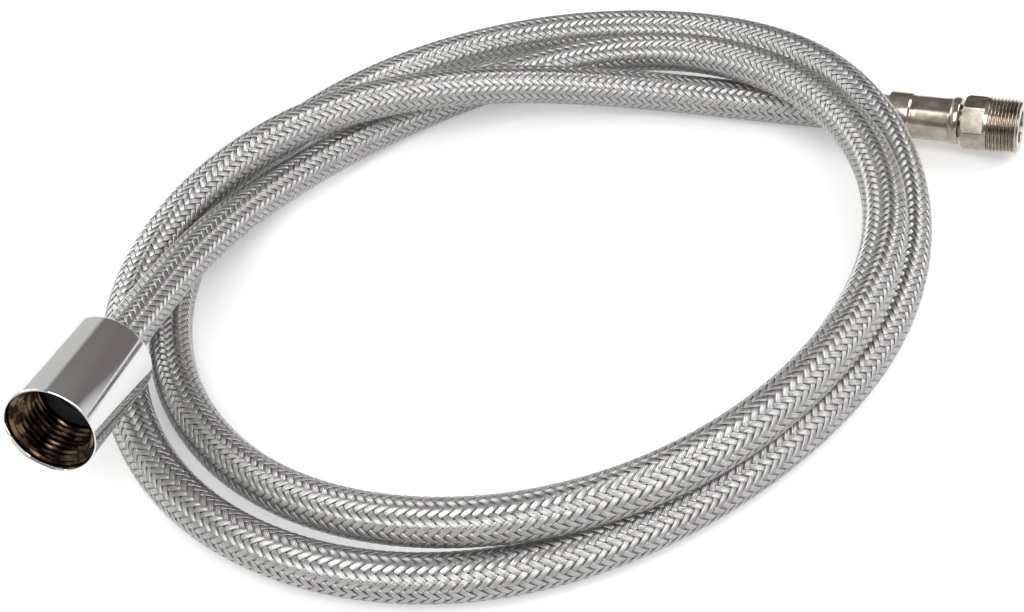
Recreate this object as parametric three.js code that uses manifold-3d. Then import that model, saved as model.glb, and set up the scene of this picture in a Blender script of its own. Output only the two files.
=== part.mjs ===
// A braided pull-out sprayer hose, laid down in about two and a half loose turns. One end carries a
// long smooth swivel nut with a G 1/2 thread, which turns on a slip ring and slides back along the
// hose. The other end is crimped into a connector with a hexagon and an M16 x 1 thread.
// Units are millimetres, +Z is up, and the origin is under the middle of the hose, on the surface
// that it lies on. The mouth of the swivel nut faces -Y.
import * as THREE from "three";
import { mergeVertices } from "three/addons/utils/BufferGeometryUtils.js";
import Module from "manifold-3d";

const wasm = await Module();
wasm.setup();

// ---- Driving dimensions ----

const GAP = 0.3; // between two pieces that touch
const RUNNING_GAP = 0.4; // between two pieces that turn or slide on each other

// The hose: a braided sleeve over a rubber inner tube.
const HOSE_OD = 12;
const SLEEVE_WALL = 1.3;
const TUBE_WALL = 1.3;
const HOSE_STEP = 12.5; // length of one straight facet of the hose
const HOSE_SIDES = 12;

// The swivel nut, with a G 1/2 internal thread.
const NUT_LENGTH = 33.2;
const NUT_WALL = 1.32; // outside the thread's major diameter, at the mouth
const NUT_REAR_OD = 24;
const NUT_REAR_ROUND = 1.6;
const NUT_RIM_CHAMFER = 0.35;
const NUT_MOUTH_LENGTH = 2; // the plain counterbore before the first thread
const NUT_MOUTH_STEP = 0.6; // how much the counterbore stands clear of the major radius
const NUT_THREAD_MAJOR = 20.955;
const NUT_THREAD_MINOR = 18.631;
const NUT_THREAD_PITCH = 1.814;
const NUT_THREAD_TURNS = 7;

// What the nut holds: a washer, the flanged nipple and a slip ring, in this order from the mouth.
const WASHER_THICKNESS = 2;
const WASHER_BORE = 10;
const FLANGE_CLEARANCE = 0.3; // between the flange and the crests of the thread
const FLANGE_THICKNESS = 2.5;
const RING_LENGTH = 3.5;
const TAIL_WALL = 0.8; // of the barbed tails that go into the inner tube
const TAIL_BARB = 0.2; // how far the barbs stand over the valleys between them
const TAIL_GRIP = 14; // length of a tail inside the inner tube
const FERRULE_WALL = 0.7;
const FERRULE_LIP = 1; // end wall of a ferrule, behind the flange or the neck
const INLET_FERRULE_LENGTH = 12.5;

// The outlet connector, with an M16 x 1 external thread, from its end face back.
const OUTLET_THREAD_MAJOR = 16;
const OUTLET_THREAD_MINOR = 14.8;
const OUTLET_THREAD_PITCH = 1;
const OUTLET_THREAD_LENGTH = 8.8;
const OUTLET_BORE = 9.4;
const OUTLET_BORE_DEPTH = 5;
const COLLAR_OD = 15.6;
const COLLAR_LENGTH = 1.2;
const HEX_ACROSS_FLATS = 13.7;
const HEX_LENGTH = 6.2;
const HEX_CHAMFER = 0.5;
const HEX_TURN = 12; // degrees about the connector's own axis
const NECK_OD = 9.4;
const NECK_LENGTH = 1; // the part that shows between the hexagon and the ferrule
const NECK_SEAT = 1; // the part inside the ferrule's rolled bead
const BEAD_OD = 14;
const BEAD_LENGTH = 2.6;
const BARREL_OD = 13;
const BARREL_LENGTH = 12.2;
const SKIRT_LENGTH = 6.1;

const ROUND_SIDES = 36; // facets around the turned pieces

// ---- Sizes that follow from them ----

const hoseRadius = HOSE_OD / 2;
const sleeveBore = hoseRadius - SLEEVE_WALL;
const tubeRadius = sleeveBore - GAP;
const tubeBore = tubeRadius - TUBE_WALL;
const tailRadius = tubeBore - GAP;
const waterway = tailRadius - TAIL_WALL;
const tailHole = tailRadius + GAP; // hole in a ferrule's end wall

const nutRadius = NUT_THREAD_MAJOR / 2 + NUT_WALL;
const mouthRadius = NUT_THREAD_MAJOR / 2 + NUT_MOUTH_STEP;
const flangeRadius = NUT_THREAD_MINOR / 2 - FLANGE_CLEARANCE;
const inletFerruleRadius = hoseRadius + GAP + FERRULE_WALL;
const ringBore = inletFerruleRadius + RUNNING_GAP;
const nutRearBore = ringBore + GAP / 2;

// Distances along the hose from the mouth of the nut.
const threadEnd = NUT_MOUTH_LENGTH + NUT_THREAD_TURNS * NUT_THREAD_PITCH;
const washerFront = threadEnd;
const flangeFront = washerFront + WASHER_THICKNESS + GAP;
const flangeBack = flangeFront + FLANGE_THICKNESS;
const ringFront = flangeBack + GAP;
const ringBack = ringFront + RING_LENGTH;
const nutShoulder = ringBack + GAP;
const hoseStart = ringFront + FERRULE_LIP + GAP;

// Distances back along the hose from the end face of the outlet connector.
const collarFront = OUTLET_THREAD_LENGTH;
const hexFront = collarFront + COLLAR_LENGTH;
const hexBack = hexFront + HEX_LENGTH;
const beadFront = hexBack + NECK_LENGTH;
const neckEnd = beadFront + NECK_SEAT;
const lipFront = neckEnd + GAP;
const lipBack = lipFront + FERRULE_LIP;
const tubeEnd = lipBack + GAP;
const barrelFront = beadFront + BEAD_LENGTH;
const skirtFront = barrelFront + BARREL_LENGTH;
const skirtBack = skirtFront + SKIRT_LENGTH;
const sleeveEnd = skirtFront + GAP;

// ---- The route of the hose ----

// The points that steer the hose, from the mouth of the nut to the end face of the connector. The
// hose is the uniform cubic B-spline of these points. The first four and the last four are in line,
// so that both ends are straight, and the humps are where it crosses over itself.
const ROUTE = [
  [-100.25, -147.75, 43.55],
  [-101, -103.5, 35.3],
  [-101.75, -59.25, 27.05],
  [-102.5, -15, 18.8],
  [-91.5, 29, 9.8],
  [-68.5, 68, 5.3],
  [-34, 94.5, 6.8],
  [7, 102, 13.5],
  [46.5, 86, 19.3],
  [76, 52.5, 23.1],
  [89, 11, 22],
  [81.5, -32, 20.3],
  [58.5, -71.5, 19.6],
  [23.5, -98, 18.3],
  [-19.5, -104.5, 13.6],
  [-63, -91, 8.3],
  [-96.5, -60, 6.3],
  [-113, -17.5, 6.3],
  [-112.5, 28, 6.3],
  [-96, 69.5, 6.3],
  [-66, 100.5, 6.8],
  [-24, 115, 10.3],
  [23, 110.5, 15.4],
  [61, 89.5, 20.3],
  [83.5, 60, 18.3],
  [94, 25, 11.3],
  [90.5, -13, 6.3],
  [73.5, -51.5, 6.3],
  [45, -86, 6.3],
  [8, -110, 6.3],
  [-35, -115, 6.3],
  [-76, -100.5, 6.3],
  [-105, -71, 7.8],
  [-118.5, -34, 15.4],
  [-110.5, 8.5, 21.9],
  [-85.5, 47.5, 22.3],
  [-49, 73.5, 15.8],
  [-8, 85.5, 8.8],
  [35, 85.8, 5.3],
  [78.9, 78.05, 7.5],
  [121.4, 70.55, 10.5],
  [163.9, 63.05, 13],
].map((p) => new THREE.Vector3(...p));

class SteeredCurve extends THREE.Curve {
  // Uniform cubic B-spline: each span blends four neighbouring points.
  constructor(points) {
    super();
    this.points = points;
    this.arcLengthDivisions = 1600;
  }
  getPoint(t, target = new THREE.Vector3()) {
    const spans = this.points.length - 3;
    const first = Math.min(Math.floor(t * spans), spans - 1);
    const x = t * spans - first;
    const weights = [
      (1 - x) ** 3,
      3 * x ** 3 - 6 * x ** 2 + 4,
      -3 * x ** 3 + 3 * x ** 2 + 3 * x + 1,
      x ** 3,
    ];
    target.set(0, 0, 0);
    weights.forEach((w, i) => target.addScaledVector(this.points[first + i], w / 6));
    return target;
  }
}

class Stretch extends THREE.Curve {
  // The part of another curve from one distance along it to another.
  constructor(curve, from, to) {
    super();
    Object.assign(this, { curve, from, to });
  }
  getPoint(t, target) {
    const along = this.from + (this.to - this.from) * t;
    return this.curve.getPointAt(along / this.curve.getLength(), target);
  }
}

const route = new SteeredCurve(ROUTE);
const sleeveTo = route.getLength() - sleeveEnd;
const tubeTo = route.getLength() - tubeEnd;

// ---- Shapes ----

// Turns every face outwards and drops what a plain closed solid doesn't need.
function solid(geometry) {
  geometry.deleteAttribute("normal");
  geometry.deleteAttribute("uv");
  const merged = mergeVertices(geometry, 1e-4);
  const p = merged.getAttribute("position");
  const index = merged.getIndex().array;
  const [a, b, c] = [new THREE.Vector3(), new THREE.Vector3(), new THREE.Vector3()];
  let volume = 0;
  const kept = [];
  for (let i = 0; i < index.length; i += 3) {
    const [i0, i1, i2] = [index[i], index[i + 1], index[i + 2]];
    if (i0 === i1 || i1 === i2 || i2 === i0) continue;
    kept.push(i0, i1, i2);
    a.fromBufferAttribute(p, i0);
    b.fromBufferAttribute(p, i1);
    c.fromBufferAttribute(p, i2);
    volume += a.dot(b.cross(c));
  }
  if (volume < 0) kept.reverse();
  merged.setIndex(kept);
  return merged;
}

// A piece turned on a lathe: the closed outline is a list of [radius, distance along the axis].
function turned(outline, sides = ROUND_SIDES) {
  const points = [...outline, outline[0]].map(([r, z]) => new THREE.Vector2(r, z));
  return solid(new THREE.LatheGeometry(points, sides).rotateX(Math.PI / 2));
}

// Points of an arc in an outline, from one angle to another in degrees, 0 being outwards.
function arc(r, z, across, along, from, to, steps) {
  return Array.from({ length: steps + 1 }, (_, i) => {
    const angle = THREE.MathUtils.degToRad(from + ((to - from) * i) / steps);
    return [r + across * Math.cos(angle), z + along * Math.sin(angle)];
  });
}

// The ridges of a thread as rings, one for each turn, alternating valley and crest.
function threadRings(from, turns, pitch, valley, crest) {
  const outline = [];
  for (let i = 0; i < turns; i++) {
    outline.push([valley, from + i * pitch], [crest, from + (i + 0.5) * pitch]);
  }
  outline.push([valley, from + turns * pitch]);
  return outline;
}

// The barbs of a tail, as a saw-tooth outline that falls away towards the tail's tip.
function barbs(from, to, count) {
  const pitch = (to - from) / count;
  const outline = [];
  for (let i = 0; i < count; i++) {
    outline.push([tailRadius, from + i * pitch], [tailRadius - TAIL_BARB, from + (i + 1) * pitch]);
  }
  return outline;
}

// A hollow round tube that follows part of the route.
function hollowTube(outer, inner, from, to) {
  const ring = (radius) =>
    Array.from({ length: HOSE_SIDES }, (_, i) => {
      const angle = ((i + 0.5) / HOSE_SIDES) * 2 * Math.PI;
      return new THREE.Vector2(radius * Math.cos(angle), radius * Math.sin(angle));
    });
  const section = new THREE.Shape(ring(outer));
  section.holes.push(new THREE.Path(ring(inner).reverse()));
  const steps = Math.max(1, Math.round((to - from) / HOSE_STEP));
  const extrudePath = new Stretch(route, from, to);
  return solid(new THREE.ExtrudeGeometry(section, { steps, extrudePath, curveSegments: 1 }));
}

function toManifold(geometry) {
  const mesh = new wasm.Mesh({
    numProp: 3,
    vertProperties: new Float32Array(geometry.getAttribute("position").array),
    triVerts: new Uint32Array(geometry.getIndex().array),
  });
  return new wasm.Manifold(mesh);
}

function fromManifold(manifold) {
  const mesh = manifold.getMesh();
  const geometry = new THREE.BufferGeometry();
  geometry.setAttribute("position", new THREE.BufferAttribute(mesh.vertProperties, 3));
  geometry.setIndex(new THREE.BufferAttribute(mesh.triVerts, 1));
  return geometry;
}

// ---- The hose ----

const braidedSleeve = () => hollowTube(hoseRadius, sleeveBore, hoseStart, sleeveTo);

// The inner tube has the sleeve's own facets as far as the sleeve goes, and a straight end past it.
function innerTube() {
  const inSleeve = hollowTube(tubeRadius, tubeBore, hoseStart, sleeveTo);
  const pastSleeve = hollowTube(tubeRadius, tubeBore, sleeveTo - FERRULE_LIP, tubeTo);
  return fromManifold(toManifold(inSleeve).add(toManifold(pastSleeve)));
}

// ---- The pieces at the swivel nut, drawn along +Z from its mouth into the hose ----

function swivelNut() {
  const round = NUT_REAR_ROUND;
  const rear = NUT_REAR_OD / 2;
  const major = NUT_THREAD_MAJOR / 2;
  const minor = NUT_THREAD_MINOR / 2;
  return turned([
    [mouthRadius, 0],
    [nutRadius - NUT_RIM_CHAMFER, 0],
    [nutRadius, NUT_RIM_CHAMFER],
    ...arc(rear - round, NUT_LENGTH - round, round, round, 0, 90, 5),
    [nutRearBore, NUT_LENGTH],
    [nutRearBore, nutShoulder],
    [major, nutShoulder],
    ...threadRings(NUT_MOUTH_LENGTH, NUT_THREAD_TURNS, NUT_THREAD_PITCH, major, minor).reverse(),
    [mouthRadius, NUT_MOUTH_LENGTH - NUT_MOUTH_STEP],
  ]);
}

const sealWasher = () =>
  turned([
    [WASHER_BORE / 2, washerFront],
    [flangeRadius, washerFront],
    [flangeRadius, washerFront + WASHER_THICKNESS],
    [WASHER_BORE / 2, washerFront + WASHER_THICKNESS],
  ]);

function inletNipple() {
  const tip = hoseStart + TAIL_GRIP;
  return turned([
    [waterway, flangeFront],
    [flangeRadius, flangeFront],
    [flangeRadius, flangeBack],
    [tailRadius, flangeBack],
    ...barbs(hoseStart + 1, tip, 4),
    [waterway, tip],
  ]);
}

const bearingRing = () =>
  turned([
    [ringBore, ringFront],
    [flangeRadius, ringFront],
    [NUT_THREAD_MAJOR / 2 - RUNNING_GAP, ringFront + 1],
    [NUT_THREAD_MAJOR / 2 - RUNNING_GAP, ringBack],
    [ringBore, ringBack],
  ]);

function inletFerrule() {
  const bore = hoseRadius + GAP;
  const end = ringFront + INLET_FERRULE_LENGTH;
  return turned([
    [tailHole, ringFront],
    [inletFerruleRadius, ringFront],
    [inletFerruleRadius, end],
    [bore, end],
    [bore, ringFront + FERRULE_LIP],
    [tailHole, ringFront + FERRULE_LIP],
  ]);
}

// ---- The pieces at the outlet, drawn along +Z with the connector's end face at 0 ----

function outletFerrule() {
  const barrel = BARREL_OD / 2;
  const skirtBore = hoseRadius + GAP;
  const tubeClear = tubeRadius + GAP;
  const neckClear = NECK_OD / 2 + GAP;
  return turned(
    [
      [neckClear, beadFront],
      ...arc(barrel, beadFront + BEAD_LENGTH / 2, BEAD_OD / 2 - barrel, BEAD_LENGTH / 2, -90, 90, 8),
      [barrel, skirtFront - FERRULE_WALL],
      [skirtBore + FERRULE_WALL, skirtFront],
      [skirtBore + FERRULE_WALL, skirtBack],
      [skirtBore, skirtBack],
      [skirtBore, skirtFront],
      [tubeClear, skirtFront],
      [tubeClear, lipBack],
      [tailHole, lipBack],
      [tailHole, lipFront],
      [neckClear, lipFront],
    ].map(([r, back]) => [r, -back])
  );
}

function outletConnector() {
  const major = OUTLET_THREAD_MAJOR / 2;
  const minor = OUTLET_THREAD_MINOR / 2;
  const turns = Math.floor((OUTLET_THREAD_LENGTH - OUTLET_THREAD_PITCH / 2) / OUTLET_THREAD_PITCH);
  const tip = tubeEnd + TAIL_GRIP;
  const body = turned(
    [
      [OUTLET_BORE / 2, 0],
      ...threadRings(0, turns, OUTLET_THREAD_PITCH, minor, major),
      [minor, collarFront],
      [COLLAR_OD / 2, collarFront],
      [COLLAR_OD / 2, hexFront],
      [NECK_OD / 2, hexFront],
      [NECK_OD / 2, neckEnd],
      [tailRadius, neckEnd],
      ...barbs(tubeEnd + 1, tip, 4),
      [waterway, tip],
      [waterway, OUTLET_BORE_DEPTH],
      [OUTLET_BORE / 2, OUTLET_BORE_DEPTH],
    ].map(([r, back]) => [r, -back])
  );
  // The hexagon is a ring around the neck, its corners turned off at the back.
  const corner = HEX_ACROSS_FLATS / 2 / Math.cos(Math.PI / 6);
  const hexagon = new THREE.Shape(
    Array.from({ length: 6 }, (_, i) => {
      const angle = (i * Math.PI) / 3 + THREE.MathUtils.degToRad(HEX_TURN);
      return new THREE.Vector2(corner * Math.cos(angle), corner * Math.sin(angle));
    })
  );
  hexagon.holes.push(new THREE.Path().absarc(0, 0, NECK_OD / 2 - GAP, 0, 2 * Math.PI, true));
  const overlap = COLLAR_LENGTH / 2;
  const prism = solid(
    new THREE.ExtrudeGeometry(hexagon, {
      depth: HEX_LENGTH + overlap,
      bevelEnabled: false,
      curveSegments: ROUND_SIDES / 2,
    }).translate(0, 0, -hexBack)
  );
  const envelope = turned([
    [waterway, -hexBack],
    [corner - HEX_CHAMFER, -hexBack],
    [corner, HEX_CHAMFER - hexBack],
    [corner, 0],
    [waterway, 0],
  ]);
  const shaped = toManifold(prism).intersect(toManifold(envelope));
  return fromManifold(toManifold(body).add(shaped));
}

// ---- The assembly ----

const chrome = { color: 0xd9dadb, roughness: 0.06, metalness: 1 };
const nickel = { color: 0xb9b2a6, roughness: 0.24, metalness: 1 };
const brass = { color: 0xb89a5c, roughness: 0.3, metalness: 1 };
const braid = { color: 0xb4b5b8, roughness: 0.35, metalness: 0.8 };
const rubber = { color: 0x1d1d1e, roughness: 0.75, metalness: 0 };
const whitePlastic = { color: 0xe6e4de, roughness: 0.5, metalness: 0 };

function piece(name, geometry, finish) {
  const mesh = new THREE.Mesh(geometry, new THREE.MeshStandardMaterial(finish));
  mesh.name = name;
  return mesh;
}

// A group whose +Z points along the given direction, at one end of the route.
function endGroup(at, direction) {
  const group = new THREE.Group();
  group.position.copy(route.getPointAt(at));
  group.quaternion.setFromUnitVectors(new THREE.Vector3(0, 0, 1), direction);
  return group;
}

const intoHose = ROUTE[1].clone().sub(ROUTE[0]).normalize();
const outOfHose = ROUTE.at(-1).clone().sub(ROUTE.at(-2)).normalize();

const inlet = endGroup(0, intoHose);
inlet.add(
  piece("swivel_nut", swivelNut(), chrome),
  piece("seal_washer", sealWasher(), rubber),
  piece("inlet_nipple", inletNipple(), brass),
  piece("bearing_ring", bearingRing(), whitePlastic),
  piece("inlet_ferrule", inletFerrule(), nickel)
);

const outlet = endGroup(1, outOfHose);
outlet.add(
  piece("outlet_ferrule", outletFerrule(), nickel),
  piece("outlet_connector", outletConnector(), nickel)
);

const sprayerHose = new THREE.Group();
sprayerHose.add(
  piece("braided_sleeve", braidedSleeve(), braid),
  piece("inner_tube", innerTube(), rubber),
  inlet,
  outlet
);

export default sprayerHose;
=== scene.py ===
"""Braided sprayer hose with a swivel nut at one end and a threaded connector at the other.

Lengths in the pieces' own outlines are millimetres along and away from their axis. The places of the
pieces are metres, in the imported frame.
"""

import math

import bpy
import numpy as np
from mathutils import Matrix, Vector


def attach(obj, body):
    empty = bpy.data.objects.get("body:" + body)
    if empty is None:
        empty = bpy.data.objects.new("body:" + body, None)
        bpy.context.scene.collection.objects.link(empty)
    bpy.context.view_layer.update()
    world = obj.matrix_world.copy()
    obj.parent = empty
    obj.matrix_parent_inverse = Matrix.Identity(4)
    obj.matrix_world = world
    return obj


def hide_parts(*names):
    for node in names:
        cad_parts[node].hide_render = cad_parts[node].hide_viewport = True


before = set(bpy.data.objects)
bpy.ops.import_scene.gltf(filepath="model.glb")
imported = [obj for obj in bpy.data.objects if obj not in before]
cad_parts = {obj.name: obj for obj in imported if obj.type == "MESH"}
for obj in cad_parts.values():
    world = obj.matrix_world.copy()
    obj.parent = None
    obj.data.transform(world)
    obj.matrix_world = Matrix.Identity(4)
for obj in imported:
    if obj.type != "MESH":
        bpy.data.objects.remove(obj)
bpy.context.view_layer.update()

MM = 0.001


# ---- Camera ----

def look_from(place, right, down, forward, lens):
    """Camera at a place, its picture's right, down and forward directions given as unit vectors."""
    data = bpy.data.cameras.new("camera")
    data.sensor_width = 36
    data.lens = lens
    data.clip_start, data.clip_end = 0.01, 50
    camera = bpy.data.objects.new("camera", data)
    bpy.context.scene.collection.objects.link(camera)
    turn = Matrix([right, [-x for x in down], [-x for x in forward]]).transposed()
    camera.matrix_world = Matrix.Translation(place) @ turn.to_4x4()
    bpy.context.scene.camera = camera


look_from(
    place=(0.090303, -0.327516, 0.295157),
    right=(0.96965, 0.22118, -0.10423),
    down=(0.07239, -0.66685, -0.74167),
    forward=(-0.23355, 0.71161, -0.66262),
    lens=56.25,
)


# ---- Route of the hose ----

ROUTE = np.array([
    (-100.25, -147.75, 43.55), (-101, -103.5, 35.3), (-101.75, -59.25, 27.05),
    (-102.5, -15, 18.8), (-91.5, 29, 9.8), (-68.5, 68, 5.3), (-34, 94.5, 6.8), (7, 102, 13.5),
    (46.5, 86, 19.3), (76, 52.5, 23.1), (89, 11, 22), (81.5, -32, 20.3), (58.5, -71.5, 19.6),
    (23.5, -98, 18.3), (-19.5, -104.5, 13.6), (-63, -91, 8.3), (-96.5, -60, 6.3),
    (-113, -17.5, 6.3), (-112.5, 28, 6.3), (-96, 69.5, 6.3), (-66, 100.5, 6.8), (-24, 115, 10.3),
    (23, 110.5, 15.4), (61, 89.5, 20.3), (83.5, 60, 18.3), (94, 25, 11.3), (90.5, -13, 6.3),
    (73.5, -51.5, 6.3), (45, -86, 6.3), (8, -110, 6.3), (-35, -115, 6.3), (-76, -100.5, 6.3),
    (-105, -71, 7.8), (-118.5, -34, 15.4), (-110.5, 8.5, 21.9), (-85.5, 47.5, 22.3),
    (-49, 73.5, 15.8), (-8, 85.5, 8.8), (35, 85.8, 5.3), (78.9, 78.05, 7.5), (121.4, 70.55, 10.5),
    (163.9, 63.05, 13),
]) * MM


def blended(points, t):
    """Uniform cubic B-spline at t, which runs from 0 to the number of spans: span k blends points k to
    k + 3 with the weights (1-x)^3, 3x^3-6x^2+4, -3x^3+3x^2+3x+1 and x^3 over six, x being the rest of t."""
    k = np.clip(t.astype(int), 0, len(points) - 4)
    x = (t - k)[:, None]
    return (
        (1 - x) ** 3 * points[k]
        + (3 * x**3 - 6 * x**2 + 4) * points[k + 1]
        + (-3 * x**3 + 3 * x**2 + 3 * x + 1) * points[k + 2]
        + x**3 * points[k + 3]
    ) / 6


TRACK_STEPS = 16000
SPANS = np.linspace(0, len(ROUTE) - 3, TRACK_STEPS + 1)
TRACK = blended(ROUTE, SPANS)
TRAVEL = np.concatenate([[0], np.cumsum(np.linalg.norm(np.diff(TRACK, axis=0), axis=1))])
HOSE_LENGTH = TRAVEL[-1]


def unit(v):
    """The vectors along the last axis, each divided by its length."""
    return v / np.linalg.norm(v, axis=-1, keepdims=True)


def route_at(s):
    """Centre, direction, level side direction and upward direction of the route at distances s: the side
    is up x direction made a unit vector, and the last is direction x side."""
    step = 0.4 * MM
    behind, centre, ahead = (
        blended(ROUTE, np.interp(place, TRAVEL, SPANS)) for place in (s - step, s, s + step)
    )
    direction = unit(ahead - behind)
    side = unit(np.cross((0, 0, 1), direction))
    return centre, direction, side, np.cross(direction, side)


# ---- Surfaces ----

def surface(name, points, finishes, ring=False, maps=None, finish_of=None, crease=40):
    """Closed mesh of grids points[k, row, column]. Columns go round a section and close on themselves.
    Rows go along, and either close into a ring or end in flat caps. A map gives each corner's place
    from its grid, row and column. The faces are turned so that the volume inside is positive."""
    grids, rows, columns = points.shape[:3]
    k, r, c = np.meshgrid(
        np.arange(grids), np.arange(rows if ring else rows - 1), np.arange(columns), indexing="ij"
    )
    corners = [(r, c), (r, c + 1), (r + 1, c + 1), (r + 1, c)]
    index = np.stack([(k * rows + a % rows) * columns + b % columns for a, b in corners], -1)
    index = index.reshape(-1, 4)
    flat = points.reshape(-1, 3)
    a, b, d = flat[index[:, 0]], flat[index[:, 1]], flat[index[:, 2]]
    e = flat[index[:, 3]]
    volume = np.einsum("ij,ij->", a, np.cross(b, d)) + np.einsum("ij,ij->", a, np.cross(d, e))
    inside_out = volume < 0
    loops = index[:, ::-1] if inside_out else index
    starts = np.arange(len(loops)) * 4
    loops = loops.ravel()
    if not ring:
        first = np.arange(grids)[:, None] * rows * columns + np.arange(columns)
        last = first + (rows - 1) * columns
        caps = np.concatenate([first[:, ::-1], last])
        caps = caps[:, ::-1] if inside_out else caps
        starts = np.concatenate([starts, len(loops) + np.arange(len(caps)) * columns])
        loops = np.concatenate([loops, caps.ravel()])
    mesh = bpy.data.meshes.new(name)
    mesh.vertices.add(len(flat))
    mesh.vertices.foreach_set("co", flat.astype(np.float32).ravel())
    mesh.loops.add(len(loops))
    mesh.loops.foreach_set("vertex_index", loops.astype(np.int32))
    mesh.polygons.add(len(starts))
    mesh.polygons.foreach_set("loop_start", starts.astype(np.int32))
    mesh.update(calc_edges=True)
    for label, place in (maps or {}).items():
        uv = np.stack([np.stack(np.broadcast_arrays(*place(k, a, b)), -1) for a, b in corners], -2)
        uv = uv.reshape(-1, 4, 2)
        uv = uv[:, ::-1] if inside_out else uv
        full = np.zeros((len(loops), 2), np.float32)
        full[: uv.size // 2] = uv.reshape(-1, 2)
        if not ring:
            full[uv.size // 2 :] = full[0]
        mesh.uv_layers.new(name=label).data.foreach_set("uv", full.ravel())
    for finish in finishes:
        mesh.materials.append(finish)
    if finish_of is not None:
        mesh.polygons.foreach_set("material_index", finish_of(k, r, c).ravel().astype(np.int32))
    mesh.shade_smooth()
    if crease:
        mesh.set_sharp_from_angle(angle=math.radians(crease))
    made = bpy.data.objects.new(name, mesh)
    bpy.context.scene.collection.objects.link(made)
    return made


# ---- Material arithmetic ----

class Wire:
    """A socket's output in a material, on which arithmetic adds Math nodes."""

    def __init__(self, finish, socket):
        self.finish, self.socket = finish, socket

    def __add__(self, other):
        return self.finish.maths("ADD", self, other)

    def __mul__(self, other):
        return self.finish.maths("MULTIPLY", self, other)

    __radd__, __rmul__ = __add__, __mul__


class Finish:
    """A material with one Principled shader, whose even values are set on the shader's own sockets."""

    def __init__(self, name, **even):
        self.material = bpy.data.materials.new(name)
        self.material.use_nodes = True
        self.tree = self.material.node_tree
        self.shader = self.tree.nodes["Principled BSDF"]
        for socket, value in even.items():
            self.shader.inputs[socket.replace("_", " ")].default_value = value

    def node(self, kind, settings=None, output=0, **inputs):
        """A node of that kind, its settings made first, then its inputs' values or links."""
        made = self.tree.nodes.new("ShaderNode" + kind)
        for key, value in (settings or {}).items():
            if key == "stops":
                ramp = made.color_ramp.elements
                while len(ramp) < len(value):
                    ramp.new(0.5)
                for stop, (place, colour) in zip(ramp, value):
                    stop.position, stop.color = place, (*colour, 1)
            else:
                setattr(made, key, value)
        for key, value in inputs.items():
            self.feed(made.inputs[int(key[1:]) if key[1:].isdigit() else key.replace("_", " ")], value)
        return Wire(self, made.outputs[output])

    def feed(self, socket, value):
        """Links a wire to the socket, or sets the socket's own value."""
        if isinstance(value, Wire):
            self.tree.links.new(value.socket, socket)
        else:
            socket.default_value = value

    def maths(self, operation, a, b=0.0):
        """A Math node of that operation on two numbers or wires."""
        return self.node("Math", {"operation": operation}, _0=a, _1=b)

    def colours(self, factor, *stops):
        """Colour that the factor picks from stops of place and colour."""
        return self.node("ValToRGB", {"stops": stops}, Fac=factor)

    def grain(self, scale, detail=3.0, where=None, roughness=0.5):
        """Noise in the object's own coordinates, or in those given."""
        where = where or self.node("TexCoord", output="Object")
        return self.node("TexNoise", Vector=where, Scale=scale, Detail=detail, Roughness=roughness)

    def relief(self, height, depth, strength=1.0):
        """Normal bumped by a height between 0 and 1, its full depth in metres."""
        return self.node("Bump", Height=height, Distance=depth, Strength=strength)

    def varies(self, **sockets):
        """Feeds the shader's sockets with what changes over the surface."""
        for key, value in sockets.items():
            self.feed(self.shader.inputs[key.replace("_", " ")], value)
        return self


TAPE_WIRES = 9  # ridges across one tape


def tape_metal():
    """Tinned flat wire strands side by side: fine ridges across each tape, with painted shade darkening the
    colour in the grooves between strands, clouded a little along it.
    """
    finish = Finish("braid_tape", Metallic=1.0)
    map_ = finish.node("UVMap", {"uv_map": "tape"})
    across = finish.node("SeparateXYZ", output="X", _0=map_)
    wire_ridges_and_groove_shade = finish.maths("SINE", across * (2 * math.pi * TAPE_WIRES)) * 0.5 + 0.5
    cloud = finish.grain(260.0, 2.0)
    return finish.varies(
        # Painted shade: the ridge sine also sets the colour, dark in the grooves between strands and light
        # on their crests; the cloud adds random tone.
        Base_Color=finish.colours(
            cloud * 0.3 + wire_ridges_and_groove_shade * 0.7, (0.15, (0.21, 0.208, 0.206)), (0.85, (0.65, 0.647, 0.642))
        ),
        Roughness=cloud * 0.06 + 0.27,
        Normal=finish.relief(wire_ridges_and_groove_shade, 0.0001, 0.6),
    )


def dull_core():
    """Dark rubber under the braid, dusty in places."""
    finish = Finish("core_rubber", Roughness=0.85)
    dust = finish.grain(900.0, 4.0)
    return finish.varies(
        Base_Color=finish.colours(dust, (0.3, (0.012, 0.012, 0.013)), (0.8, (0.045, 0.045, 0.05)))
    )


def bright_chrome():
    """Mirror chrome, with the faintest cloud of handling on it."""
    finish = Finish("chrome", Metallic=1.0, Base_Color=(0.67, 0.67, 0.67, 1))
    cloud = finish.grain(160.0, 4.0)
    return finish.varies(Roughness=cloud * 0.05 + 0.025)


def turned_brass():
    """Bare turned brass: tool lines round the axis. Its colour is painted shade: mostly near black, standing
    in for the shade inside the nut, with noise patches of brighter brass.
    """
    finish = Finish("brass", Metallic=1.0)
    painted_shade_patches = finish.grain(210.0, 5.0)
    place = finish.node("UVMap", {"uv_map": "turning"})
    lines = finish.grain(1.0, 2.0, finish.node("Mapping", Vector=place, Scale=(4.0, 26.0, 1.0)))
    return finish.varies(
        # Painted shade: the near-black stop darkens most of the brass for the nut's shaded inside; the noise
        # only sets where brighter patches fall.
        Base_Color=finish.colours(painted_shade_patches, (0.45, (0.014, 0.009, 0.006)), (0.8, (0.30, 0.20, 0.10))),
        Roughness=painted_shade_patches * 0.12 + 0.09,
        Normal=finish.relief(lines, 0.00002, 0.5),
    )


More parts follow.
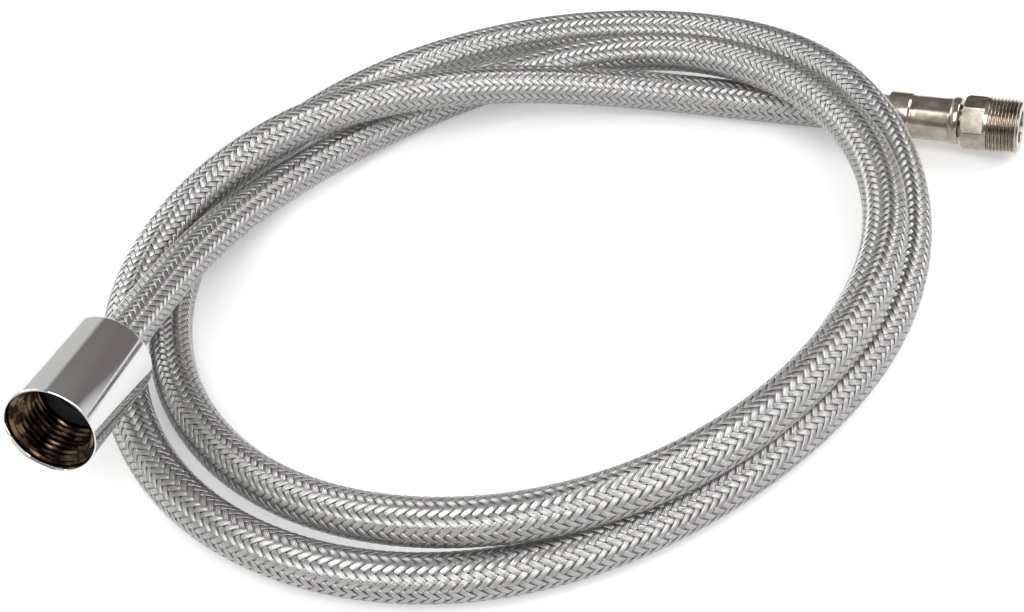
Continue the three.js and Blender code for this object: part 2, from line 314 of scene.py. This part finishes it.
def satin_nickel():
    """Nickel over machined brass: tool lines round the axis, and a fine sparkling grain."""
    finish = Finish("nickel", Metallic=1.0)
    place = finish.node("UVMap", {"uv_map": "turning"})
    lines = finish.grain(1.0, 3.0, finish.node("Mapping", Vector=place, Scale=(5.0, 18.0, 1.0)))
    sparkle = finish.grain(5200.0, 2.0)
    cloud = finish.grain(240.0, 4.0)
    return finish.varies(
        Base_Color=finish.colours(cloud, (0.3, (0.30, 0.26, 0.21)), (0.75, (0.55, 0.50, 0.43))),
        Roughness=cloud * 0.12 + sparkle * 0.08 + 0.10,
        Normal=finish.relief(lines * 0.4 + sparkle * 0.6, 0.000006, 0.5),
    )


def soft_rubber():
    """Black moulded rubber with a fine skin."""
    finish = Finish("rubber", Roughness=0.6)
    skin = finish.grain(1600.0, 3.0)
    return finish.varies(
        Base_Color=finish.colours(skin, (0.3, (0.010, 0.010, 0.011)), (0.8, (0.035, 0.035, 0.037))),
        Normal=finish.relief(skin, 0.00003, 0.5),
    )


def slip_plastic():
    """White moulded plastic, very slightly uneven in colour and gloss."""
    finish = Finish("slip_plastic")
    cloud = finish.grain(300.0, 3.0)
    return finish.varies(
        Base_Color=finish.colours(cloud, (0.3, (0.74, 0.73, 0.70)), (0.8, (0.82, 0.81, 0.78))),
        Roughness=cloud * 0.2 + 0.3,
    )


TAPE, CORE, CHROME, BRASS = tape_metal(), dull_core(), bright_chrome(), turned_brass()
NICKEL, RUBBER, PLASTIC = satin_nickel(), soft_rubber(), slip_plastic()


# ---- The braided hose ----

HOSE_RADIUS = 6.0
BRAID_START = 21.098 * MM
BRAID_END = HOSE_LENGTH - 32.3 * MM
TAPES = 16  # each way round
TAPE_PITCH = 2.6  # along the hose, between tapes that run the same way
TAPE_HALF = 0.79
TAPE_THICK = 0.26
TAPE_RISE = 0.17
BRAID_MARGIN = 0.02  # between the highest tapes and the hose's radius
BRAID_MIDDLE = HOSE_RADIUS - BRAID_MARGIN - TAPE_RISE - TAPE_THICK / 2
TAPE_SLOPE = 2 * math.pi / (TAPES * TAPE_PITCH)  # turn round the hose for each millimetre along it
SECTION = np.array([(-1, -0.1), (-0.66, 0.75), (0, 1), (0.66, 0.75), (1, -0.1), (0, -1)])
ROWS_IN_A_WAVE = 11
GROUP = 4  # tapes in one piece
STRIPS = 8  # strips that a tape's length is cut into on its map
STRIP_MARGIN = 0.06  # left free at each side of a strip
CORE_GAP = 0.03  # between the core and the lowest tapes
CORE_BORE = 4.7
CORE_ROWS, CORE_SIDES = 420, 24


def tape_wave(angle):
    """Over two tapes and under two, with short climbs between: tanh(1.6 cos(angle)) / tanh(1.6)."""
    return np.tanh(1.6 * np.cos(angle)) / math.tanh(1.6)


def braid_tapes(name, first, way):
    """One group of neighbouring tapes that wind the same way, +1 or -1. Tape i runs round the hose at the
    angle 2 pi i / 16 + way x slope x distance, at the middle radius plus the rise times the tape wave,
    which is half a cycle apart for the two ways wherever they cross. Its section is a flat crowned strip."""
    count = round((BRAID_END - BRAID_START) / MM / (2 * TAPE_PITCH) * ROWS_IN_A_WAVE)
    s = np.linspace(BRAID_START, BRAID_END, count + 1)
    centre, direction, side, upward = (v[None, :, None] for v in route_at(s))
    i = (first + np.arange(GROUP))[:, None]
    x = s[None] / MM / (TAPE_PITCH / 2)
    phase = x + 2 * i - 0.5 if way > 0 else 2 * i - x - 2.5
    height = BRAID_MIDDLE + TAPE_RISE * tape_wave(phase * math.pi / 2)
    angle = (2 * math.pi * i / TAPES + way * TAPE_SLOPE * s[None] / MM)[..., None, None]
    outward = np.cos(angle) * side + np.sin(angle) * upward
    around = np.cos(angle) * upward - np.sin(angle) * side
    lean = math.atan(TAPE_SLOPE * BRAID_MIDDLE)
    across = math.cos(lean) * around - way * math.sin(lean) * direction
    a = (SECTION[:, 0] * TAPE_HALF)[:, None]
    h = height[..., None, None] + (SECTION[:, 1] * TAPE_THICK / 2)[:, None]
    points = centre + (outward * h + across * a) * MM
    columns = len(SECTION)

    def strip(k, r, c):
        cut = r / (count + 1) * STRIPS
        row = np.minimum(cut.astype(int), STRIPS - 1)
        share = STRIP_MARGIN + (1 - 2 * STRIP_MARGIN) * c / columns
        return cut - row, (k * STRIPS + row + share) / (GROUP * STRIPS)

    return surface(
        name, points, [TAPE.material], crease=0,
        maps={"tape": lambda k, r, c: (c / columns, r * 0.01), "OFBake": strip},
    )


def core_tube():
    """Dark tube under the braid: a circle carried along the route, and back inside it as the bore,
    closed into one ring. Returns the tube and its centreline."""
    s = np.linspace(BRAID_START, BRAID_END, CORE_ROWS)
    centre, _, side, upward = (v[:, None] for v in route_at(s))
    angle = (np.arange(CORE_SIDES) / CORE_SIDES * 2 * math.pi)[:, None]
    outward = np.cos(angle) * side + np.sin(angle) * upward
    outer = BRAID_MIDDLE - TAPE_RISE - TAPE_THICK / 2 - CORE_GAP
    skin = centre + outward * outer * MM
    bore = centre + outward * CORE_BORE * MM
    points = np.concatenate([skin, bore[::-1]])[None]
    return surface("hose_core", points, [CORE.material], ring=True), centre[:, 0]


braid = [
    braid_tapes(f"braid_{word}_{group + 1}", group * GROUP, way)
    for word, way in (("right", 1), ("left", -1))
    for group in range(TAPES // GROUP)
]
core, core_path = core_tube()


# ---- Turned pieces ----

def pose_of(origin, direction):
    """Turn and place of an end's pieces: their +Z is carried to the direction by the shortest turn."""
    turn = Vector((0, 0, 1)).rotation_difference(Vector(direction)).to_matrix()
    return np.array(turn), np.array(origin)


INLET = pose_of(TRACK[0], unit(ROUTE[1] - ROUTE[0]))
OUTLET = pose_of(TRACK[-1], unit(ROUTE[-1] - ROUTE[-2]))


def eased(outline, radius, steps=3):
    """Open outline of (radius, distance) with its inner corners rounded: each corner becomes a curve
    blended from a point before it, the corner and a point after it, no further off than 0.45 of the edge."""
    p = np.array(outline, float)
    out = [p[:1]]
    t = np.linspace(0, 1, steps + 1)[:, None]
    for before, corner, after in zip(p[:-2], p[1:-1], p[2:]):
        a, b = np.linalg.norm(before - corner), np.linalg.norm(after - corner)
        start = corner + (before - corner) * min(radius / a, 0.45)
        end = corner + (after - corner) * min(radius / b, 0.45)
        out.append((1 - t) ** 2 * start + 2 * t * (1 - t) * corner + t**2 * end)
    return np.concatenate([*out, p[-1:]])


def turned(name, pose, parts, finishes, sides=128, lead=0.0, finish_of=None, crease=40):
    """Piece turned on a lathe: the parts follow each other along its outline and close into a ring.
    A part is a list of (radius, distance), or a pair of arrays radius[row, angle] and distance where the
    radius changes round the axis. The point is (radius cos, radius sin, distance)."""
    angle = lead + np.arange(sides) / sides * 2 * math.pi
    radii, lengths = [], []
    for part in parts:
        if isinstance(part, tuple):
            r, z = part
        else:
            r, z = np.array(part, float).T[:, :, None]
        shape = (max(np.shape(r)[0], np.shape(z)[0]), sides)
        radii.append(np.broadcast_to(r, shape))
        lengths.append(np.broadcast_to(z, shape))
    r, z = np.concatenate(radii), np.concatenate(lengths)
    turn, place = pose
    local = np.stack([r * np.cos(angle), r * np.sin(angle), z], -1) * MM
    travel = np.concatenate([[0], np.cumsum(np.hypot(np.diff(r[:, 0]), np.diff(z[:, 0]))), [0]])
    return surface(
        name, (local @ turn.T + place)[None], [f.material for f in finishes], ring=True, crease=crease,
        maps={"turning": lambda k, i, c: (c / sides, travel[i])}, finish_of=finish_of,
    )


def thread(valley, crest, start, stop, pitch, sides, run_in=0.6, per_turn=10, lead=0.0):
    """Screw thread between two distances: the radius is the valley's plus a ridge whose place is
    distance / pitch - angle / 2 pi. The ridge is a triangle with its top and bottom cut flat, and it
    rises from nothing over the run-in at both ends."""
    rows = max(2, round(abs(stop - start) / pitch * per_turn))
    z = np.linspace(start, stop, rows + 1)[:, None]
    angle = (lead + np.arange(sides) / sides * 2 * math.pi)[None]
    place = (z / pitch - angle / (2 * math.pi)) % 1
    ridge = np.clip(1.3 * (1 - np.abs(2 * place - 1)) - 0.15, 0, 1)
    ends = np.minimum(np.abs(z - start), np.abs(z - stop)) / run_in
    return valley + (crest - valley) * ridge * np.clip(ends, 0, 1), z


# Radii that both ends share
WATERWAY, TAIL, TAIL_VALLEY, TAIL_HOLE = 2.0, 2.8, 2.6, 3.1
CRIMP_BORE, CRIMP = 6.3, 7.0

# The nut and what it holds: radii, and distances from its mouth along the hose
NUT_MOUTH, NUT_FRONT, NUT_TAPER_END, NUT_BACK = 11.078, 11.798, 11.87, 12.0
NUT_MAJOR, NUT_MINOR, NUT_PITCH = 10.4775, 9.3155, 1.814
NUT_THREAD = (2.0, 14.698)
NUT_SHOULDER, NUT_LENGTH = 23.598, 33.2
NUT_HOLE, NUT_ROUND = 7.55, 1.6
WASHER_BORE, WASHER_RADIUS, WASHER = 5, 8.98, (14.72, 16.68)
FLANGE_RADIUS, FLANGE = 9.0, (16.998, 19.498)
RING_BORE, RING_RADIUS, RING, RING_CHAMFER = 7.4, 10.07, (19.798, 23.298), 1
INLET_CRIMP_END, CRIMP_LIP = 32.298, 1
INLET_BARBS = (22.1, 35.1)

# The outlet: radii, and distances back from its end face
OUTLET_VALLEY, OUTLET_CREST, OUTLET_PITCH, OUTLET_THREAD_END = 7.2, 8.0, 1.0, 8.8
OUTLET_BORE, OUTLET_BORE_END, OUTLET_NOSE = 4.7, 5.0, 7.1
COLLAR_RADIUS, COLLAR_END = 7.8, 10
HEX_FLAT, HEX_CORNER, HEX_TAPER, HEX_END = 6.85, 8.1, 15.2, 16.2
HEX_TURN = math.radians(12)
NECK, NECK_END = 4.7, 18.2
BEAD_MIDDLE, BEAD_HALF = 18.5, 1.3
BARREL, BARREL_SPAN = 6.5, (20.3, 30.8)
SKIRT = (32.0, 38.1)
LIP = (18.5, 19.5)
OUTLET_BARBS = (20.8, 33.8)


def swivel_nut():
    """Long tapering skirt with a rounded back, a plain mouth, a female thread of seven turns and a
    shoulder that the bearing ring meets. The outside is chrome, and the inside bare brass."""
    t = np.linspace(0, math.pi / 2, 9)
    middle, edge = NUT_BACK - NUT_ROUND, NUT_LENGTH - NUT_ROUND
    back = [(middle + NUT_ROUND * math.cos(a), edge + NUT_ROUND * math.sin(a)) for a in t]
    shell = eased(
        [(NUT_MOUTH, 1.6), (NUT_MOUTH, 0.8), (11.44, 0), (11.6, 0), (NUT_FRONT, 0.22),
         (NUT_TAPER_END, 12.0)],
        0.1,
    )
    rear = eased(
        [(8.6, NUT_LENGTH), (NUT_HOLE, NUT_LENGTH), (NUT_HOLE, NUT_SHOULDER),
         (NUT_MAJOR, NUT_SHOULDER), (NUT_MAJOR, NUT_THREAD[1])],
        0.2,
    )
    bore = thread(NUT_MAJOR, NUT_MINOR, NUT_THREAD[1], NUT_THREAD[0], NUT_PITCH, 160)
    # The chrome starts inside the rim and ends just inside the hole at the back
    chrome_from, chrome_to = 3, len(shell) + len(back) + 6
    return turned(
        "nut_shell", INLET, [shell, back, rear, bore], [CHROME, BRASS], sides=160,
        finish_of=lambda k, r, c: np.where((r >= chrome_from) & (r < chrome_to), 0, 1),
    )


def seal_washer():
    """Flat rubber washer with softened edges."""
    front, back = WASHER
    half = eased(
        [(WASHER_BORE, 15.7), (WASHER_BORE, front), (WASHER_RADIUS, front), (WASHER_RADIUS, back),
         (WASHER_BORE, back), (WASHER_BORE, 15.8)],
        0.25,
    )
    return turned("washer_rubber", INLET, [half], [RUBBER], sides=96)


def barbed_tail(start, stop, count=4):
    """Saw-tooth of barbs that fall away towards the tip, and the tip's own edge."""
    z = np.linspace(start, stop, count + 1)
    teeth = [(r, v) for a, b in zip(z[:-1], z[1:]) for r, v in ((TAIL, a), (TAIL_VALLEY, b))]
    return teeth + [(WATERWAY, stop)]


def inlet_nipple():
    """Flange that presses the washer, and the barbed tail that holds the hose."""
    front, back = FLANGE
    body = eased(
        [(WATERWAY, 20), (WATERWAY, front), (FLANGE_RADIUS, front), (FLANGE_RADIUS, back), (TAIL, back),
         (TAIL, 21.5)],
        0.25,
    )
    return turned("nipple_brass", INLET, [body, barbed_tail(*INLET_BARBS)], [BRASS], sides=96)


def bearing_ring():
    """Plastic ring with a chamfered front."""
    front, back = RING
    body = eased(
        [(RING_BORE, 21), (RING_BORE, front), (FLANGE_RADIUS, front), (RING_RADIUS, front + RING_CHAMFER),
         (RING_RADIUS, back), (RING_BORE, back), (RING_BORE, 22)],
        0.2,
    )
    return turned("ring_plastic", INLET, [body], [PLASTIC], sides=96)


def inlet_ferrule():
    """Crimped cup over the hose's end."""
    front = RING[0]
    body = eased(
        [(TAIL_HOLE, 20.3), (TAIL_HOLE, front), (CRIMP, front), (CRIMP, INLET_CRIMP_END),
         (CRIMP_BORE, INLET_CRIMP_END), (CRIMP_BORE, front + CRIMP_LIP), (TAIL_HOLE, front + CRIMP_LIP)],
        0.25,
    )
    return turned("ferrule_inlet_nickel", INLET, [body], [NICKEL], sides=96)


def backwards(outline):
    """The outline with its distances counted back from the end face."""
    return np.array(outline) * (1, -1)


def outlet_ferrule():
    """Crimped cup at the outlet: a rolled bead, a barrel pressed in by eight shallow jaw marks, and a
    skirt that stands out over the braid."""
    t = np.radians(np.linspace(-90, 90, 17))
    bead = np.stack([BARREL + 0.5 * np.cos(t), BEAD_MIDDLE + BEAD_HALF * np.sin(t)], -1)
    front, back = BARREL_SPAN
    z = np.linspace(front, back, 27)[:, None]
    sides = 144
    angle = (np.arange(sides) / sides * 2 * math.pi)[None]
    press = np.clip(np.minimum(z - front, back - z) / 1.2, 0, 1)
    barrel = (BARREL - 0.05 * press * np.abs(np.cos(4 * angle)) ** 0.5, -z)
    skirt = eased(
        [(BARREL, 31.1), (BARREL, 31.3), (6.95, SKIRT[0]), (CRIMP, SKIRT[1]), (CRIMP_BORE, SKIRT[1]),
         (CRIMP_BORE, SKIRT[0]), (4.7, SKIRT[0]), (4.7, LIP[1]), (TAIL_HOLE, LIP[1]), (TAIL_HOLE, LIP[0]),
         (5.0, LIP[0]), (5.0, 17.5)],
        0.22,
    )
    parts = [backwards(bead), barrel, backwards(skirt)]
    return turned("ferrule_outlet_nickel", OUTLET, parts, [NICKEL], sides=sides)


def outlet_connector():
    """Nose with a bore and a male thread, a collar, a hexagon with its corners turned off, a neck and a
    barbed tail. The hexagon's radius is its six flats' distances blended, so that its corners are just
    softened: the flat's distance x (sum of max(0, cos(angle - flat))^70)^(-1/70)."""
    sides, sharpness = 216, 70
    angle = HEX_TURN + np.arange(sides) / sides * 2 * math.pi
    radius, z = thread(
        OUTLET_VALLEY, OUTLET_CREST, 0, -OUTLET_THREAD_END, OUTLET_PITCH, sides, 0.45, 14, HEX_TURN
    )
    nose = (np.minimum(radius, 7.3 - z), z)
    flats = math.radians(30) + HEX_TURN + np.arange(6) * math.pi / 3
    near = np.maximum(0, np.cos(angle[:, None] - flats)) ** sharpness
    hexagon = HEX_FLAT * near.sum(-1)[None] ** (-1 / sharpness)
    z = np.array([10, 10.08, 10.4, 13, 15.2, 15.45, 15.65, 15.8, 15.95, 16.08, 16.2])[:, None]
    turned_off = np.interp(
        z, [COLLAR_END, COLLAR_END + 0.1, HEX_TAPER, HEX_END], [7.75, HEX_CORNER, HEX_CORNER, 7.25]
    )
    body = (np.minimum(hexagon, turned_off), -z)
    front = eased(
        [(3.8, OUTLET_BORE_END), (OUTLET_BORE, OUTLET_BORE_END), (OUTLET_BORE, 0.25), (4.95, 0),
         (OUTLET_NOSE, 0)],
        0.1,
    )
    collar = eased(
        [(7.4, OUTLET_THREAD_END), (COLLAR_RADIUS, OUTLET_THREAD_END), (COLLAR_RADIUS, COLLAR_END),
         (7.75, COLLAR_END)],
        0.12,
    )
    neck = eased([(5.6, HEX_END), (NECK, HEX_END), (NECK, NECK_END), (TAIL, NECK_END), (TAIL, 20.6)], 0.15)
    tail = barbed_tail(*OUTLET_BARBS) + [(WATERWAY, OUTLET_BORE_END)]
    return turned(
        "connector_nickel", OUTLET,
        [backwards(front), nose, backwards(collar), body, backwards(neck), backwards(tail)],
        [NICKEL], sides=sides, lead=HEX_TURN,
    )


nut, washer, nipple = swivel_nut(), seal_washer(), inlet_nipple()
ring, ferrule_in = bearing_ring(), inlet_ferrule()
ferrule_out, connector = outlet_ferrule(), outlet_connector()

for piece, body, node, slot in (
    (core, "hose", "braided_sleeve", "rubber"),
    (nut, "nut", "swivel_nut", "chrome"),
    (washer, "hose", "seal_washer", "rubber"),
    (nipple, "hose", "inlet_nipple", "brass"),
    (ring, "slip_ring", "bearing_ring", "slip_plastic"),
    (ferrule_in, "hose", "inlet_ferrule", "nickel"),
    (ferrule_out, "hose", "outlet_ferrule", "nickel"),
    (connector, "hose", "outlet_connector", "nickel"),
):
    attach(piece, body)
    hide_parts(node)
for piece in braid:
    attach(piece, "hose")

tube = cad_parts["inner_tube"]
tube.data.materials.clear()
tube.data.materials.append(RUBBER.material)

leaves_nut = route_at(np.array([NUT_LENGTH * MM]))[0][0]


# ---- Floor, room and lamps ----

def room():
    """Pale room: dim and warm near the horizon, lighter above it, with bright walls left and right."""
    world = bpy.data.worlds.new("room")
    bpy.context.scene.world = world
    world.use_nodes = True
    nodes, links = world.node_tree.nodes, world.node_tree.links
    way = nodes.new("ShaderNodeSeparateXYZ")
    links.new(nodes.new("ShaderNodeTexCoord").outputs["Generated"], way.inputs[0])

    def fade(factor, low, dark, high, bright):
        ramp = nodes.new("ShaderNodeValToRGB")
        first, last = ramp.color_ramp.elements
        first.position, first.color, last.position, last.color = low, (*dark, 1), high, (*bright, 1)
        links.new(factor, ramp.inputs[0])
        return ramp.outputs[0]

    left = nodes.new("ShaderNodeMath")
    left.operation, left.inputs[1].default_value = "MULTIPLY", -1
    links.new(way.outputs["X"], left.inputs[0])
    colour = fade(way.outputs["Z"], 0.40, (0.235, 0.21, 0.20), 0.85, (0.34, 0.34, 0.34))
    for place, start, end, wall in (
        (left.outputs[0], 0.27, 0.37, (0.74, 0.745, 0.72)),
        (way.outputs["X"], 0.62, 0.76, (0.95, 0.95, 0.95)),
    ):
        mix = nodes.new("ShaderNodeMix")
        mix.data_type = "RGBA"
        links.new(fade(place, start, (0, 0, 0), end, (1, 1, 1)), mix.inputs["Factor"])
        links.new(colour, mix.inputs["A"])
        mix.inputs["B"].default_value = (*wall, 1)
        colour = mix.outputs["Result"]
    sky = nodes["Background"]
    links.new(colour, sky.inputs["Color"])
    sky.inputs["Strength"].default_value = 1.0


def lamp(name, place, size, power, aim=(0, 0, 0)):
    """Square soft lamp that faces a point."""
    data = bpy.data.lights.new(name, "AREA")
    data.shape, data.size, data.energy = "SQUARE", size, power
    light = bpy.data.objects.new(name, data)
    light.location = place
    light.rotation_euler = (Vector(aim) - Vector(place)).to_track_quat("-Z", "Y").to_euler()
    bpy.context.scene.collection.objects.link(light)


def floor():
    """Plain pale floor, which glows faintly so that shadows stay light."""
    finish = Finish("floor_card", Roughness=0.9, Base_Color=(0.62, 0.62, 0.62, 1))
    finish.shader.inputs["Specular IOR Level"].default_value = 0.0
    finish.shader.inputs["Emission Color"].default_value = (1, 1, 1, 1)
    finish.shader.inputs["Emission Strength"].default_value = 0.34
    reach, height = 6, -0.0005
    corners = [(x * reach, y * reach, height) for x, y in ((-1, -1), (1, -1), (1, 1), (-1, 1))]
    mesh = bpy.data.meshes.new("floor")
    mesh.from_pydata(corners, [], [(0, 1, 2, 3)])
    mesh.materials.append(finish.material)
    card = bpy.data.objects.new("floor", mesh)
    bpy.context.scene.collection.objects.link(card)


room()
lamp("front_softbox", (0.15, -0.72, 1.05), 0.9, 13)
lamp("left_softbox", (-1.1, 0.35, 0.8), 0.75, 9.5)
lamp("right_softbox", (1.0, 0.4, 0.9), 0.75, 9.5)
floor()
bpy.context.scene.view_settings.view_transform = "Standard"
